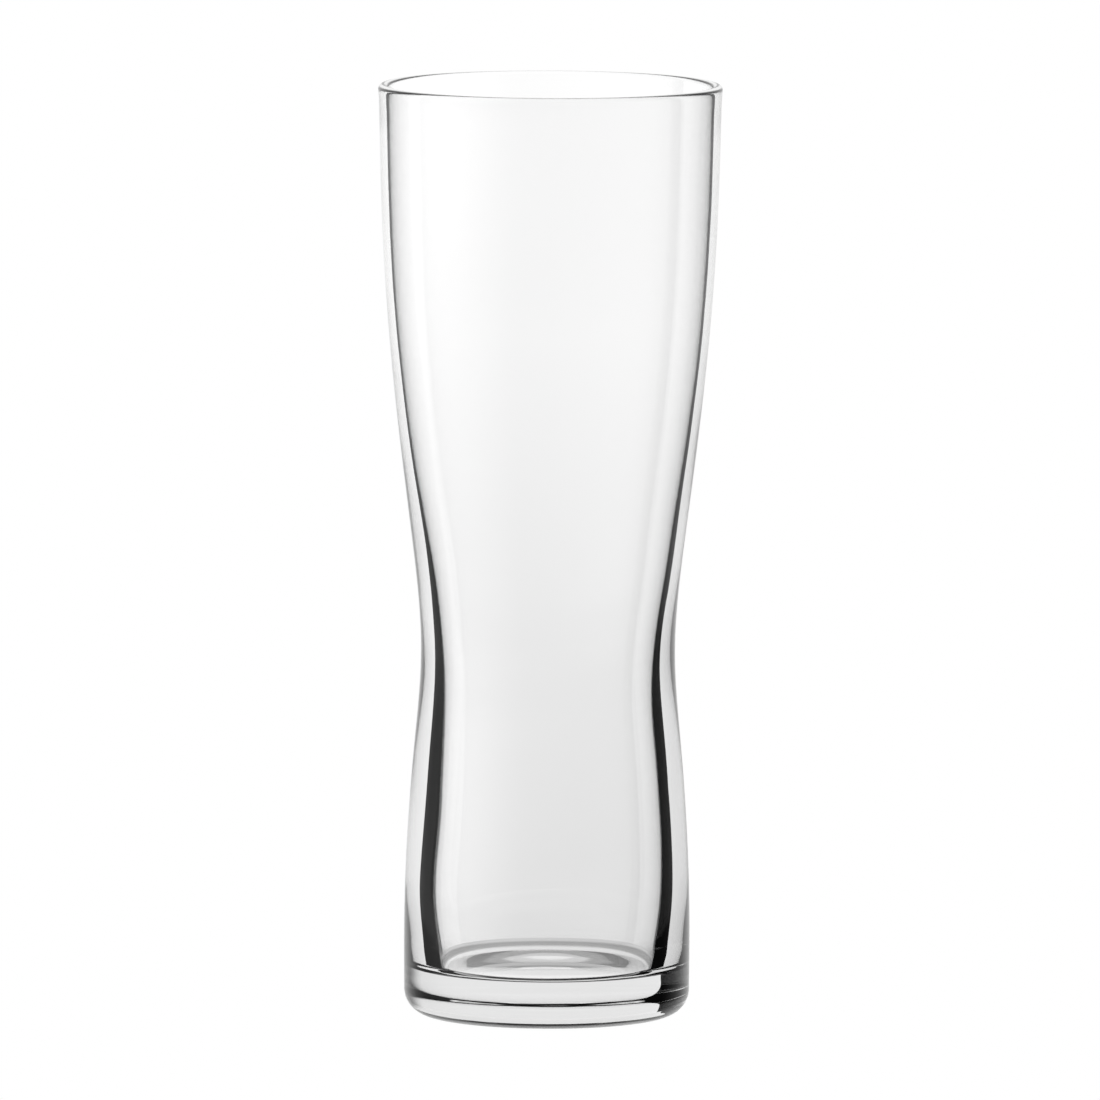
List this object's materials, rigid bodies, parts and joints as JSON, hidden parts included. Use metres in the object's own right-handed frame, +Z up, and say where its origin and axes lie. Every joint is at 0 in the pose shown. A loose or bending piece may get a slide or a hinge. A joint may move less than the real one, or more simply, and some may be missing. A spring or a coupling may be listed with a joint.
{
  "type": "pint glass",
  "caption": "Tall clear beer glass with a flared mouth, a soft waist, a fuller lower body and a thick solid base.",
  "frame": {"origin": "centre of the ring that the glass stands on, at table height", "axes": "+Z up along the glass's axis, from the base to the mouth; the glass is round, so +X and +Y are any two level directions at right angles"},
  "size_m": [0.0788, 0.0788, 0.214],
  "materials": {
    "clear_glass": "clear, smooth, fire-polished soda-lime glass"
  },
  "bodies": {
    "root": {"glass_body": "clear_glass"}
  },
  "joints": []
}
